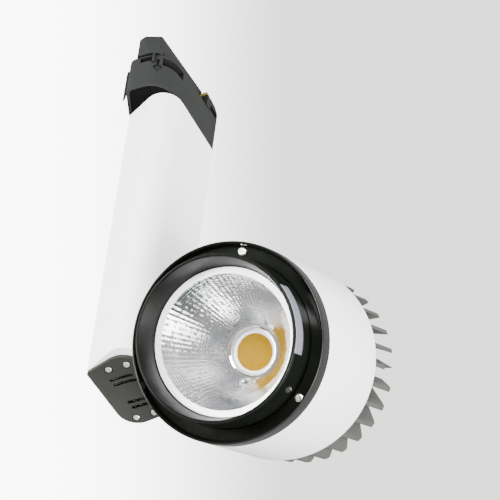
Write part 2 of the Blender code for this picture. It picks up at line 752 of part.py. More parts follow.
def fin_outline():
    """Star outline of the heat sink: skewed fins on a round core."""
    points = []
    skew = math.radians(FIN_SKEW)
    pitch = math.tau / FIN_COUNT
    start = math.radians(FIN_START)
    half = FIN_THICKNESS / 2
    way = Vector((math.cos(skew), math.sin(skew)))
    across = Vector((-way.y, way.x))
    tip = Vector((SINK_RADIUS, 0.0)) + way * 0.0030
    for number in range(FIN_COUNT):
        turn = Matrix.Rotation(start + pitch * number, 2)
        for side in (-1.0, 1.0):
            edge = tip + across * half * side
            reach = edge.dot(way)
            miss = edge.dot(across)
            root = edge - way * (reach - math.sqrt(CORE_RADIUS**2 - miss**2))
            pair = (root, edge) if side < 0 else (edge, root)
            points.extend(turn @ point for point in pair)
    return points


def make_heat_sink():
    """One casting: front disc, core and fins, trimmed to a slightly domed rear."""
    rear = RIM_AHEAD - SINK_REAR
    sink = place("heat_sink", prism(fin_outline(), rear - 0.002, FIN_FRONT), FIN_METAL, TILT)
    hull = turned(
        (
            (0.0, FIN_FRONT + 0.002),
            (SINK_RADIUS, FIN_FRONT + 0.002),
            (SINK_RADIUS, rear + 0.0042),
            (SINK_RADIUS - 0.0007, rear + 0.0026),
            (SINK_RADIUS - 0.0023, rear + 0.0017),
            (SINK_RADIUS - 0.0100, rear + 0.0007),
            (SINK_RADIUS - 0.0200, rear),
            (0.0, rear),
        ),
        96,
    )
    combine(sink, hull, "INTERSECT")
    shortened = block((0.0290, -0.0027, rear - 0.002), (0.0530, 0.0027, rear + 0.0170))
    lean = Matrix.Rotation(math.radians(SHORT_FIN), 4, "Z")
    bmesh.ops.transform(shortened, matrix=lean, verts=shortened.verts)
    combine(sink, shortened)
    base = turned(
        (
            (0.0, SINK_FACE),
            (0.0355, SINK_FACE),
            (0.0355, SINK_FACE - 0.0045),
            (CORE_RADIUS - 0.0020, SINK_FACE - 0.0080),
            (CORE_RADIUS - 0.0020, FIN_FRONT - 0.0040),
            (0.0, FIN_FRONT - 0.0040),
        )
    )
    combine(sink, base, "UNION")
    for angle in SINK_SCREW_ANGLES:
        x, y, z = spot(SINK_SCREW_RADIUS, angle)
        combine(sink, disc(0.0034, FIN_FRONT - 0.0120, FIN_FRONT - 0.0001, 16, (x, y)), "UNION")
        combine(sink, disc(0.0014, FIN_FRONT - 0.010, FIN_FRONT + 0.002, 12, (x, y)))
    for number, angle in enumerate(SINK_SCREW_ANGLES, 1):
        at = spot(SINK_SCREW_RADIUS, angle, FLANGE_FRONT)
        make_screw("sink_screw_%d" % number, TILT, at, 0.0011, 0.0026, -0.0014, 0.0090, False)
    return sink


def make_lamp():
    """Chip-on-board emitter, its holder and thermal pad, and the reflector."""
    pad_low = SINK_FACE + GAP
    place("thermal_pad", disc(0.0140, pad_low, pad_low + 0.0004, 32), PAD_GREY, TILT)
    board_low = pad_low + 0.0004 + GAP
    board_high = board_low + 0.0010
    board = block((-0.0120, -0.0120, board_low), (0.0120, 0.0120, board_high))
    place("emitter_board", board, CERAMIC, TILT, False)
    emitter_top = RIM_AHEAD - EMITTER_DEPTH
    emitter = turned(
        (
            (0.0, board_high + GAP),
            (EMITTER_RADIUS, board_high + GAP),
            (EMITTER_RADIUS, emitter_top - 0.0002),
            (EMITTER_RADIUS - 0.0004, emitter_top),
            (0.0, emitter_top),
        ),
        40,
    )
    place("emitter", emitter, PHOSPHOR, TILT)
    holder = turned(
        (
            (0.0160, board_high + GAP),
            (0.0160, emitter_top + 0.0006),
            (0.0122, emitter_top + 0.0016),
            (EMITTER_RADIUS + GAP, emitter_top + 0.0002),
            (EMITTER_RADIUS + GAP, board_high + GAP),
        ),
        40,
    )
    place("emitter_holder", holder, CERAMIC, TILT)
    profile = []
    inner = []
    steps = 8
    foot = emitter_top + 0.0020
    mouth = RIM_AHEAD
    for step in range(steps + 1):
        share = step / steps
        radius = REFLECTOR_THROAT + (REFLECTOR_MOUTH - REFLECTOR_THROAT) * share**0.62
        height = foot + (mouth + 0.0018 - foot) * share
        inner.append((radius, height))
        profile.append((radius + 0.0009, min(height, mouth)))
    rim = ((REFLECTOR_MOUTH + 0.0009, mouth), (REFLECTOR_RIM, mouth), (REFLECTOR_RIM, mouth + 0.0018))
    reflector = turned(tuple(profile[:-1]) + rim + tuple(reversed(inner)), 48)
    place("reflector", reflector, BRIGHT_METAL, TILT)


make_housing()
make_nose()
make_tail()
make_cover()
make_contacts()
make_lock()
make_swivel()
make_box()
make_driver()
make_pivot()
make_bezel()
make_snoot()
make_sleeve()
make_heat_sink()
make_lamp()
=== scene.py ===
"""Looks of the track spotlight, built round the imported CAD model."""
import json
import math

import bmesh
import bpy
from mathutils import Matrix, Vector


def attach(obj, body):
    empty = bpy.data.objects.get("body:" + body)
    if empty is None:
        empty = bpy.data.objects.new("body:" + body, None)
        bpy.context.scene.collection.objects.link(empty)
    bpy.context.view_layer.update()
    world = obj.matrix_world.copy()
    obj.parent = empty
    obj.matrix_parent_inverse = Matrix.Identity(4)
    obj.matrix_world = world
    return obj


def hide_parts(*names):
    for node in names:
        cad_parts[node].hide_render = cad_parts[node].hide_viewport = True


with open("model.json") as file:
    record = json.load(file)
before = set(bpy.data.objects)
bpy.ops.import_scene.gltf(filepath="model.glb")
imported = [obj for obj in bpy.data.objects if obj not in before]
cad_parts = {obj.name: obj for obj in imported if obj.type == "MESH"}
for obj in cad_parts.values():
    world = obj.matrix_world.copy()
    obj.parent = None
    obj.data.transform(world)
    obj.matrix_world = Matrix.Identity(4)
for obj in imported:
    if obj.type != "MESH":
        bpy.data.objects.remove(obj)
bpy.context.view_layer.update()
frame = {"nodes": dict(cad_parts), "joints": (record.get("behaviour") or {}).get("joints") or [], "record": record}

# ---------------------------------------------------------------- places and sizes, metres
TILT_JOINT = next(joint for joint in frame["joints"] if joint["name"] == "tilt")
HEAD_TILT = 40.0                  # the head's aim below the horizontal, in degrees
HEAD = Matrix.Translation(TILT_JOINT["pos_m"]) @ Matrix.Rotation(math.radians(90 + HEAD_TILT), 4, "X")
RIM_AHEAD = 0.050                 # bezel's front plane ahead of the tilt axis

# Lamp head, as the CAD model has it: radii from the head's axis, heights along it.
HEAD_RADIUS = 0.0492
FIT_GAP = 0.0003                  # play between the snoot and its neighbours
SNOOT_RADIUS = 0.0412
SNOOT_HEIGHT = 0.016
SNOOT_STEP = RIM_AHEAD + 0.0020   # where the snoot's slanted inner wall starts
SNOOT_BORE = 0.0352
LIP_RADIUS = 0.0400
LIP_OUTER = LIP_RADIUS + 0.0008
LIP_INNER = LIP_RADIUS - 0.0006
NEAR_WALL = 0.0006                # faces this close to the slanted wall count as inner ones
FLANGE_RADIUS = 0.0430            # flange that holds the snoot behind the bezel
FLANGE_PLATE = 0.0023
BEZEL_SEAT = RIM_AHEAD - 0.0048
BEZEL_PLATE = 0.0026
BEZEL_SKIRT = RIM_AHEAD - 0.0095
BEZEL_CHANNEL = 0.0471            # outer radius of the bezel's sunk floor
BEZEL_CREST = 0.0479              # inner radius of its raised rim
BEZEL_BACK = 0.0476               # inner radius of its skirt
SATIN_BAND = 0.0004               # depth of the satin finish on its edge
SLEEVE_FRONT = RIM_AHEAD - 0.0098
SLEEVE_REAR = RIM_AHEAD - 0.0770
SLEEVE_INNER = 0.0475
SLEEVE_BORE = 0.0385
SLEEVE_PLATE = 0.0020
SLEEVE_PLATE_FRONT = RIM_AHEAD - 0.0566
EMITTER_TOP = 0.0120
EMITTER_RADIUS = 0.0092
HOLDER_RADIUS = 0.0160

# Emitter and holder reach a little lower than in the CAD, into the board below them.
EMITTER_LOW = 0.0114
RIDGE_OUTER = 0.0122              # ridge on the holder, round the dam
RIDGE_INNER = 0.0118
DAM_OUTER = 0.0106
GEL_DOME = 0.0003                 # how far the gel's middle stands above its edge
DAM_GAP = 0.0002
DAM_METAL = 0.0103                # the dam is metal outside this radius

# Reflector: the bowl runs from the throat at its foot to the mouth.
REFLECTOR_RIM = 0.0364
REFLECTOR_MOUTH = 0.0330
REFLECTOR_THROAT = 0.0112         # tighter than in the CAD; the tilted facets end further out
REFLECTOR_FOOT = 0.0140
REFLECTOR_TOP = RIM_AHEAD + 0.0018
REFLECTOR_WALL = 0.0011
RIM_CHAMFER = 0.0002
RIM_START = REFLECTOR_MOUTH + 0.0003
RIM_SHELF = REFLECTOR_MOUTH + 0.0009
BOWL_CURVE = 0.62                 # exponent of the bowl's outline
BACK_LEVELS = 9                   # steps up the smooth back
FACET_COLUMNS = 84
FACET_ROWS = 24
FACET_FINE = 4                    # mesh steps across one facet
FACET_EDGE = 7                    # angle from which an edge between facets stays sharp, degrees
ROW_GROWTH = 1.2                  # rows get taller towards the mouth
FACET_AIM = 13.5                  # facets send light from the emitter this far off the axis
FACET_CROWN = 0.050               # bulge of a facet along the bowl, as a share of its height
FACET_BOW = 0.024                 # and round the bowl, as a share of its width
FOOT_CROWN = -0.040               # how much both change at the foot
FOOT_BOW = -0.012
FOOT_REACH = 0.35                 # share of the bowl's height where that change ends
FACET_SCATTER = 0.070             # how unevenly the facets stand, as a slope

LABEL_ARC = (-24.5, 24.5)         # where the blank label sits on the snoot, in degrees
LABEL_LOW = 0.0558
LABEL_HIGH = 0.0650
LABEL_LIFT = 0.00006
LABEL_THICK = 0.00012
LABEL_STEPS = (48, 8)             # mesh steps along and up the label

# ---------------------------------------------------------------- camera, lights and room
CAMERA_PLACE = (0.690, -1.1439, -1.7317)
CAMERA_RIGHT = (0.9144, 0.3957, 0.0794)
CAMERA_UP = (0.2586, -0.7249, 0.6381)
CAMERA_LENS = 292.65              # millimetres, on a sensor SENSOR_WIDTH wide
SENSOR_WIDTH = 36.0
SUBJECT = Vector((0.045, 0.0, -0.19))
LIGHTS = {                        # direction from the subject, distance, size, power in watts
    "key": ((-0.62, -0.72, -0.24), 1.7, 0.9, 135),
    "side": ((0.80, 0.15, -0.60), 1.8, 1.2, 150),
    "fill": ((0.35, -0.75, -0.30), 2.0, 0.6, 125),
}
FLOOR_Z = -2.3
FLOOR_SIZE = 80.0
WORLD_SKY = (0.9, 0.9, 0.9)       # the room as a light
WORLD_DARK = (0.02, 0.02, 0.02)   # its dim part ahead of the lamp head
WORLD_AHEAD = (-0.31, -0.851, -0.422)
WORLD_AHEAD_FADE = (0.35, 0.95)   # cosines of the angles where the dim part starts and is full
WORLD_TINT = (0.13, 0.24, 0.20)   # small tinted part that the reflector picks up
WORLD_TINT_WAY = (0.24, -0.95, -0.10)
WORLD_TINT_FADE = (0.88, 0.97)
BACKDROP_LEFT = (9.5, 9.5, 9.5)   # what the camera sees behind the object
BACKDROP_RIGHT = (2.05, 2.05, 2.0)
BACKDROP_FADE = (-0.055, 0.012)   # how far left and right of the camera's middle it changes

SOFT_EDGE = 0.00022               # radius that the light sees on sharp edges
SMOOTH_BELOW = 24                 # edges flatter than this angle are shaded smooth, degrees
CLOUD_SCALE = 55.0                # noise that varies a finish's colour, per metre
RELIEF_DEPTH = 0.0002


# ---------------------------------------------------------------- material nodes
class Nodes:
    """Small helper that adds and links the nodes of one material."""

    def __init__(self, name):
        self.material = bpy.data.materials.new(name)
        self.material.use_nodes = True
        self.tree = self.material.node_tree
        self.shader = self.tree.nodes["Principled BSDF"]

    def add(self, kind, **values):
        """New node with the given settings."""
        node = self.tree.nodes.new(kind)
        for key, value in values.items():
            setattr(node, key, value)
        return node

    def link(self, source, target):
        self.tree.links.new(source, target)

    def position(self, stretch=(1.0, 1.0, 1.0)):
        """Object position, stretched before it reaches a texture."""
        place = self.add("ShaderNodeTexCoord")
        mapping = self.add("ShaderNodeMapping")
        mapping.inputs["Scale"].default_value = stretch
        self.link(place.outputs["Object"], mapping.inputs["Vector"])
        return mapping.outputs["Vector"]

    def noise(self, vector, scale, detail=3.0, rough=0.55):
        """Cloudy value, mostly between 0.3 and 0.7."""
        node = self.add("ShaderNodeTexNoise")
        node.inputs["Scale"].default_value = scale
        node.inputs["Detail"].default_value = detail
        node.inputs["Roughness"].default_value = rough
        self.link(vector, node.inputs["Vector"])
        return node.outputs["Fac"]

    def cells(self, vector, scale):
        """Distance to the nearest of many scattered points."""
        node = self.add("ShaderNodeTexVoronoi")
        node.inputs["Scale"].default_value = scale
        self.link(vector, node.inputs["Vector"])
        return node.outputs["Distance"]

    def remap(self, value, low, high, start=0.3, end=0.7):
        """Stretch a value from start..end to low..high."""
        node = self.add("ShaderNodeMapRange")
        node.inputs["From Min"].default_value = start
        node.inputs["From Max"].default_value = end
        node.inputs["To Min"].default_value = low
        node.inputs["To Max"].default_value = high
        self.link(value, node.inputs["Value"])
        return node.outputs["Result"]

    def blend(self, factor, first, second):
        """Mix of two colours; each is a tuple or another node's output."""
        node = self.add("ShaderNodeMix", data_type="RGBA")
        for value, socket in ((first, "A"), (second, "B")):
            if isinstance(value, tuple):
                node.inputs[socket].default_value = (*value, 1.0)
            else:
                self.link(value, node.inputs[socket])
        self.link(factor, node.inputs["Factor"])
        return node.outputs["Result"]

    def add_share(self, first, second, share):
        """First value plus a share of the second."""
        node = self.add("ShaderNodeMath", operation="MULTIPLY_ADD")
        self.link(second, node.inputs[0])
        node.inputs[1].default_value = share
        self.link(first, node.inputs[2])
        return node.outputs[0]

    def relief(self, height, strength, distance, soft_edge=True):
        """Bump from a height, over edges that look softly rounded unless soft_edge is off."""
        node = self.add("ShaderNodeBump")
        node.inputs["Strength"].default_value = strength
        node.inputs["Distance"].default_value = distance
        self.link(height, node.inputs["Height"])
        if soft_edge:
            soft = self.add("ShaderNodeBevel", samples=4)
            soft.inputs["Radius"].default_value = SOFT_EDGE
            self.link(soft.outputs["Normal"], node.inputs["Normal"])
        self.link(node.outputs["Normal"], self.shader.inputs["Normal"])

    def drive(self, socket, value):
        """Let another node's output set one of the shader's sockets."""
        self.link(value, self.shader.inputs[socket])

    def painted_cavity_shade(self, colour, reach, dark):
        """Painted shade: darken a colour inside slots and recesses by ambient occlusion."""
        node = self.add("ShaderNodeAmbientOcclusion", samples=8)
        node.inputs["Distance"].default_value = reach
        return self.blend(self.remap(node.outputs["AO"], 0.0, 1.0, 0.45, 0.92), dark, colour)


def shade(colour, factor):
    """Colour made lighter or darker by a factor."""
    return tuple(min(channel * factor, 1.0) for channel in colour)


def surface(
    name,
    colour,
    roughness,
    grain,
    relief,
    metallic=0.0,
    level=0.5,
    spread=0.10,
    stretch=(1, 1, 1),
    painted_cavity_shade=0.0,
):
    """Material with cloudy colour, uneven gloss and a fine grained relief.

    grain is the scale of the relief's texture per metre, stretch makes it into lines, spread is how
    much the colour varies, and painted_cavity_shade is how far apart walls still paint shade on each other.
    """
    nodes = Nodes(name)
    place = nodes.position()
    fine = nodes.position(stretch)
    clouds = nodes.noise(place, CLOUD_SCALE, 4.0)
    grains = nodes.noise(fine, grain, 4.0, 0.65)
    specks = nodes.cells(fine, grain * 0.45)
    cloudy = nodes.remap(clouds, 0.0, 1.0)
    tone = nodes.blend(cloudy, shade(colour, 1 - spread), shade(colour, 1 + spread))
    worn = nodes.remap(grains, 0.0, 0.55, 0.52, 0.80)
    tint = nodes.blend(worn, tone, shade(colour, 1 + 2.2 * spread))
    # Painted shade: ambient occlusion darkens the colour in slots, vents and recesses.
    if painted_cavity_shade:
        tint = nodes.painted_cavity_shade(tint, painted_cavity_shade, shade(colour, 0.08))
    nodes.drive("Base Color", tint)
    nodes.drive("Roughness", nodes.remap(grains, roughness * 0.85, min(roughness * 1.2, 1.0)))
    nodes.shader.inputs["Metallic"].default_value = metallic
    nodes.shader.inputs["Specular IOR Level"].default_value = level
    nodes.relief(nodes.add_share(grains, specks, 0.6), relief, RELIEF_DEPTH)
    return nodes.material


def streaked(name, colour, roughness, level=0.5):
    """Dark moulded wall with fine streaks that run round the head's axis."""
    nodes = Nodes(name)
    lines = nodes.noise(nodes.position((12.0, 12.0, 2600.0)), 1.0, 5.0, 0.7)
    clouds = nodes.noise(nodes.position(), 70.0, 3.0)
    tone = nodes.blend(nodes.remap(clouds, 0.0, 1.0), shade(colour, 0.82), shade(colour, 1.2))
    nodes.drive("Base Color", nodes.blend(nodes.remap(lines, 0.0, 0.7), tone, shade(colour, 1.7)))
    nodes.drive("Roughness", nodes.remap(lines, roughness * 0.75, roughness * 1.3))
    nodes.shader.inputs["Specular IOR Level"].default_value = level
    nodes.relief(lines, 0.35, 0.00008)
    return nodes.material


def polished(name, colour, roughness, level=0.5, metallic=0.0):
    """Glossy surface with faint hairlines and cloudy gloss."""
    nodes = Nodes(name)
    clouds = nodes.noise(nodes.position(), 90.0, 4.0)
    hairs = nodes.noise(nodes.position((400.0, 60.0, 900.0)), 3.0, 6.0, 0.75)
    tone = nodes.blend(nodes.remap(clouds, 0.0, 1.0), shade(colour, 0.85), shade(colour, 1.15))
    nodes.drive("Base Color", tone)
    cloudy_gloss = nodes.remap(clouds, roughness * 0.8, roughness * 1.2)
    nodes.drive("Roughness", nodes.add_share(cloudy_gloss, hairs, roughness * 0.3))
    nodes.shader.inputs["Metallic"].default_value = metallic
    nodes.shader.inputs["Specular IOR Level"].default_value = level
    nodes.relief(hairs, 0.06, 0.00005, soft_edge=False)
    return nodes.material


def phosphor_gel(name):
    """Yellow silicone over the chips: their faint square grid shows through."""
    nodes = Nodes(name)
    place = nodes.position()
    bricks = nodes.add("ShaderNodeTexChecker")
    bricks.inputs["Scale"].default_value = 1250.0
    nodes.link(place, bricks.inputs["Vector"])
    clouds = nodes.noise(place, 260.0, 4.0)
    tone = nodes.blend(nodes.remap(clouds, 0.0, 1.0), (0.185, 0.100, 0.0), (0.215, 0.118, 0.0))
    grid = nodes.remap(bricks.outputs["Fac"], 0.0, 0.10, 0.0, 1.0)
    nodes.drive("Base Color", nodes.blend(grid, tone, (0.135, 0.070, 0.0)))
    nodes.drive("Roughness", nodes.remap(clouds, 0.22, 0.36))
    nodes.shader.inputs["Specular IOR Level"].default_value = 0.08
    nodes.relief(clouds, 0.15, 0.0001)
    return nodes.material


# The adapter's and the end cap's finishes paint shade into their slots, vents and recesses.
ADAPTER = surface("adapter_matt", (0.0125, 0.0134, 0.0127), 0.60, 2600.0, 0.35, level=0.10, painted_cavity_shade=0.016)
# Painted shade: the adapter's underside cover is near black for the shade of the recess it sits in.
SHADED_COVER = surface("cover_painted_shade", (0.0010, 0.0010, 0.0009), 0.70, 2000.0, 0.30, level=0.03)
CAP = surface("cap_matt", (0.0205, 0.0212, 0.0183), 0.60, 2200.0, 0.30, level=0.14, painted_cavity_shade=0.003)
LEVER = surface("lever_matt", (0.012, 0.0125, 0.012), 0.55, 2400.0, 0.30, level=0.12)
WHITE = surface("powder_coat", (0.80, 0.80, 0.785), 0.42, 1500.0, 0.16, level=0.45, spread=0.02)
GLOSS = polished("gloss_black", (0.0034, 0.0040, 0.0030), 0.09, level=0.10)
SIDE = surface("satin_black", (0.0060, 0.0066, 0.0058), 0.34, 2400.0, 0.10, level=0.20)
INNER = streaked("snoot_wall", (0.0014, 0.0017, 0.0013), 0.32, level=0.05)
MIRROR = polished("vacuum_metal", (0.90, 0.91, 0.92), 0.02, metallic=1.0)
RIM_METAL = surface("rim_metal", (0.90, 0.91, 0.92), 0.40, 1900.0, 0.10, metallic=0.35, spread=0.03)
DAM_RING = surface("dam_ring", (0.52, 0.53, 0.54), 0.30, 2100.0, 0.12, metallic=0.8, spread=0.04)
SCREW = surface("screw_steel", (0.66, 0.66, 0.63), 0.30, 1800.0, 0.30, metallic=1.0, spread=0.06)
STEEL = surface("turned_steel", (0.56, 0.56, 0.54), 0.34, 1500.0, 0.25, metallic=1.0, stretch=(1, 1, 12))
FINS = surface("fin_coat", (0.055, 0.057, 0.052), 0.55, 1700.0, 0.40, metallic=0.25, level=0.35)
BRASS = surface("brass_blade", (0.30, 0.26, 0.055), 0.38, 1600.0, 0.25, metallic=0.9, stretch=(10, 1, 1))
BOARD = surface("board_mask", (0.012, 0.11, 0.045), 0.42, 1100.0, 0.25, spread=0.18)
RESIN = surface("dark_resin", (0.020, 0.020, 0.021), 0.45, 1900.0, 0.35)
CERAMIC = surface("ceramic_white", (0.78, 0.78, 0.75), 0.38, 2100.0, 0.15, spread=0.03)
PAD = surface("thermal_pad", (0.24, 0.25, 0.27), 0.85, 1500.0, 0.40)
TAPE = surface("winding_tape", (0.62, 0.44, 0.05), 0.48, 900.0, 0.30, stretch=(1, 1, 9))
SLEEVING = surface("capacitor_skin", (0.025, 0.030, 0.075), 0.30, 1200.0, 0.15, stretch=(1, 1, 6))
LINER = surface("liner_sheet", (0.70, 0.69, 0.62), 0.55, 1500.0, 0.20, spread=0.04)
PHOSPHOR = phosphor_gel("phosphor_gel")
LABEL = surface("label_film", (0.12, 0.124, 0.142), 0.30, 1400.0, 0.10, level=0.5, spread=0.05)

FINISHES = {
    "adapter_plastic": ADAPTER,
    "cap_plastic": CAP,
    "white_paint": WHITE,
    "black_gloss": GLOSS,
    "bright_metal": MIRROR,
    "steel": STEEL,
    "fin_metal": FINS,
    "brass": BRASS,
    "board_green": BOARD,
    "dark_resin": RESIN,
    "ceramic": CERAMIC,
    "phosphor": PHOSPHOR,
    "pad_grey": PAD,
    "yellow_tape": TAPE,
    "capacitor_skin": SLEEVING,
    "liner": LINER,
}
OWN_FINISHES = {"lock_lever": LEVER, "adapter_cover": SHADED_COVER}


def dress_cad():
    """Give every CAD node the finish of its material slot, or its own where it has one."""
    slots = {part["node"]: part["material_slot"] for part in frame["record"]["subparts"]}
    for node, piece in frame["nodes"].items():
        finish = OWN_FINISHES.get(node, FINISHES[slots[node]])
        if "screw" in node:
            finish = SCREW
        piece.data.materials.clear()
        piece.data.materials.append(finish)


# ---------------------------------------------------------------- shapes
def round_profile(points, steps=4):
    """Round the corners of a closed (radius, z) profile; a point is (r, z, rounding)."""
    out = []
    count = len(points)
    for index, (r, z, rounding) in enumerate(points):
        here = Vector((r, z))
        if rounding <= 0:
            out.append(here)
            continue
        back = Vector(points[index - 1][:2]) - here
        ahead = Vector(points[(index + 1) % count][:2]) - here
        start = here + back.normalized() * min(rounding, back.length * 0.49)
        end = here + ahead.normalized() * min(rounding, ahead.length * 0.49)
        for step in range(steps + 1):
            t = step / steps
            out.append(start * (1 - t) ** 2 + here * 2 * t * (1 - t) + end * t**2)
    return out


def circle(body, radius, height, steps):
    """Ring of vertices about the head's axis."""
    angles = [math.tau * i / steps for i in range(steps)]
    return [body.verts.new((radius * math.cos(a), radius * math.sin(a), height)) for a in angles]


def head_piece(name, mesh_source, materials, stands_for=(), smooth_below=SMOOTH_BELOW):
    """Turn a bmesh in the head's own axes into a piece that rides on the head."""
    bmesh.ops.recalc_face_normals(mesh_source, faces=mesh_source.faces)
    mesh = bpy.data.meshes.new(name)
    mesh_source.to_mesh(mesh)
    mesh_source.free()
    mesh.shade_smooth()
    mesh.set_sharp_from_angle(angle=math.radians(smooth_below))
    for material in materials:
        mesh.materials.append(material)
    piece = bpy.data.objects.new(name, mesh)
    piece.matrix_world = HEAD
    bpy.context.scene.collection.objects.link(piece)
    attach(piece, "head")
    if stands_for:
        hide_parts(*stands_for)
    return piece


def turned(profile, steps=144, closed=True, pick=None):
    """Spin a profile of (radius, z) points; pick gives each face's material from its middle."""
    body = bmesh.new()
    rings = []
    for r, z in profile:
        if r < 1e-6:
            rings.append([body.verts.new((0, 0, z))] * steps)
            continue
        rings.append(circle(body, r, z, steps))
    count = len(rings)
    for first in range(count if closed else count - 1):
        second = (first + 1) % count
        for i in range(steps):
            j = (i + 1) % steps
            corners = (rings[first][i], rings[first][j], rings[second][j], rings[second][i])
            unique = list(dict.fromkeys(corners))
            if len(unique) < 3:
                continue
            face = body.faces.new(unique)
            if pick:
                middle = face.calc_center_median()
                face.material_index = pick(math.hypot(middle.x, middle.y), middle.z)
    return body


def make_bezel():
    """Channel with a raised rim round the snoot, and a skirt behind it."""
    inner = SNOOT_RADIUS + FIT_GAP
    floor_low = BEZEL_SEAT - BEZEL_PLATE
    profile = round_profile(
        (
            (inner, BEZEL_SEAT, 0),
            (BEZEL_CHANNEL, BEZEL_SEAT, 0.0005),
            (BEZEL_CREST, RIM_AHEAD, 0.0009),
            (HEAD_RADIUS, RIM_AHEAD, 0.0012),
            (HEAD_RADIUS, BEZEL_SKIRT, 0.0002),
            (BEZEL_BACK, BEZEL_SKIRT, 0),
            (BEZEL_BACK, floor_low, 0),
            (inner, floor_low, 0),
        ),
        6,
    )
    body = turned(profile, pick=lambda r, z: 1 if r > HEAD_RADIUS - SATIN_BAND else 0)
    head_piece("bezel_ring", body, (GLOSS, SIDE), ("bezel",))


def make_snoot():
    """Short tube that narrows to its lip, with a flange behind the bezel's floor."""
    lip = RIM_AHEAD + SNOOT_HEIGHT
    flange_top = BEZEL_SEAT - BEZEL_PLATE - FIT_GAP
    flange_low = flange_top - FLANGE_PLATE
    profile = round_profile(
        (
            (SNOOT_RADIUS, flange_top, 0),
            (SNOOT_RADIUS, RIM_AHEAD, 0.0005),
            (LIP_OUTER, lip, 0.0007),
            (LIP_INNER, lip, 0.0006),
            (REFLECTOR_RIM + FIT_GAP, SNOOT_STEP, 0.0004),
            (REFLECTOR_RIM + FIT_GAP, RIM_AHEAD - FIT_GAP, 0),
            (SNOOT_BORE, RIM_AHEAD - FIT_GAP, 0),
            (SNOOT_BORE, flange_low, 0),
            (FLANGE_RADIUS, flange_low, 0),
            (FLANGE_RADIUS, flange_top, 0),
        ),
        5,
    )

    def pick(r, z):
        """Streaked finish on the inner wall, gloss elsewhere."""
        slant = REFLECTOR_RIM + (z - RIM_AHEAD) * (LIP_RADIUS - REFLECTOR_RIM) / SNOOT_HEIGHT
        return 1 if z > RIM_AHEAD and r < slant + NEAR_WALL else 0

    head_piece("snoot_tube", turned(profile, pick=pick), (GLOSS, INNER), ("snoot",))


def make_sleeve():
    """Housing tube with an inner ring that the heat sink is screwed to."""
    plate_rear = SLEEVE_PLATE_FRONT - SLEEVE_PLATE
    profile = round_profile(
        (
            (HEAD_RADIUS, SLEEVE_FRONT, 0.0003),
            (HEAD_RADIUS, SLEEVE_REAR, 0.0008),
            (SLEEVE_INNER, SLEEVE_REAR, 0.0004),
            (SLEEVE_INNER, plate_rear, 0),
            (SLEEVE_BORE, plate_rear, 0.0003),
            (SLEEVE_BORE, SLEEVE_PLATE_FRONT, 0.0003),
            (SLEEVE_INNER, SLEEVE_PLATE_FRONT, 0),
            (SLEEVE_INNER, SLEEVE_FRONT, 0),
        ),
        4,
    )
    head_piece("sleeve_shell", turned(profile), (WHITE,), ("sleeve",))


def bowl_radius(share):
    """Radius of the reflector's bowl at a share of its height."""
    return REFLECTOR_THROAT + (REFLECTOR_MOUTH - REFLECTOR_THROAT) * share**BOWL_CURVE


def uneven(row, column):
    """Repeatable number between -0.5 and 0.5 for one facet."""
    return (math.sin(row * 12.99 + column * 78.23) * 43758.5) % 1.0 - 0.5


def bulge(share):
    """Arch that is 0 at both ends and 1 in the middle."""
    return 4 * share * (1 - share)


def facet_ring(body, row, low, high, up, around):
    """Ring of vertices at a share up of one row of mirrors, which runs from low to high."""
    depth = REFLECTOR_TOP - REFLECTOR_FOOT
    height = REFLECTOR_FOOT + depth * (low + (high - low) * up)
    tall = depth * (high - low)
    middle = (low + high) / 2
    above = REFLECTOR_FOOT + depth * middle - EMITTER_TOP
    tilt = (math.radians(FACET_AIM) + math.atan2(bowl_radius(middle), above)) / 2
    lean = math.tan(tilt) - (bowl_radius(high) - bowl_radius(low)) / tall
    base = bowl_radius(low + (high - low) * up) + lean * tall * (up - 0.5)
    wide = math.tau * base / FACET_COLUMNS
    near_foot = max(0.0, 1 - middle / FOOT_REACH)
    verts = []
    for i in range(around):
        column = i // FACET_FINE
        along = (i % FACET_FINE) / FACET_FINE
        crown = bulge(up) * tall * (FACET_CROWN + near_foot * FOOT_CROWN)
        crown += bulge(along) * wide * (FACET_BOW + near_foot * FOOT_BOW)
        # A facet's own vertices stop short of the next facet, so their middle is near 0.4.
        crown += uneven(row, column) * FACET_SCATTER * tall * (up - 0.5)
        crown += uneven(column, row) * FACET_SCATTER * wide * (along - 0.4)
        angle = math.tau * i / around
        radius = base - crown
        verts.append(body.verts.new((radius * math.cos(angle), radius * math.sin(angle), height)))
    return verts


def make_reflector():
    """Bowl of small pillow-shaped mirrors in rows, with a flat rim and a smooth back."""
    around = FACET_COLUMNS * FACET_FINE
    body = bmesh.new()
    rings = []
    edges = [(row / FACET_ROWS) ** ROW_GROWTH for row in range(FACET_ROWS + 1)]
    for row in range(FACET_ROWS):
        for step in range(FACET_FINE + 1):
            rings.append(facet_ring(body, row, edges[row], edges[row + 1], step / FACET_FINE, around))
    mirrors = len(rings)
    back = [
        (RIM_START, REFLECTOR_TOP),
        (REFLECTOR_RIM - RIM_CHAMFER, REFLECTOR_TOP),
        (REFLECTOR_RIM, REFLECTOR_TOP - RIM_CHAMFER),
        (REFLECTOR_RIM, RIM_AHEAD),
        (RIM_SHELF, RIM_AHEAD),
    ]
    for level in range(BACK_LEVELS, -1, -1):
        share = level / (BACK_LEVELS + 1)
        height = REFLECTOR_FOOT + (REFLECTOR_TOP - REFLECTOR_FOOT) * share
        back.append((bowl_radius(share) + REFLECTOR_WALL, height))
    rings += [circle(body, radius, height, around) for radius, height in back]
    for first, ring in enumerate(rings):
        following = rings[(first + 1) % len(rings)]
        for i in range(around):
            j = (i + 1) % around
            face = body.faces.new((ring[i], ring[j], following[j], following[i]))
            face.material_index = 0 if first < mirrors - 1 else 1
    finishes = (MIRROR, RIM_METAL)
    head_piece("reflector_bowl", body, finishes, ("reflector",), FACET_EDGE)


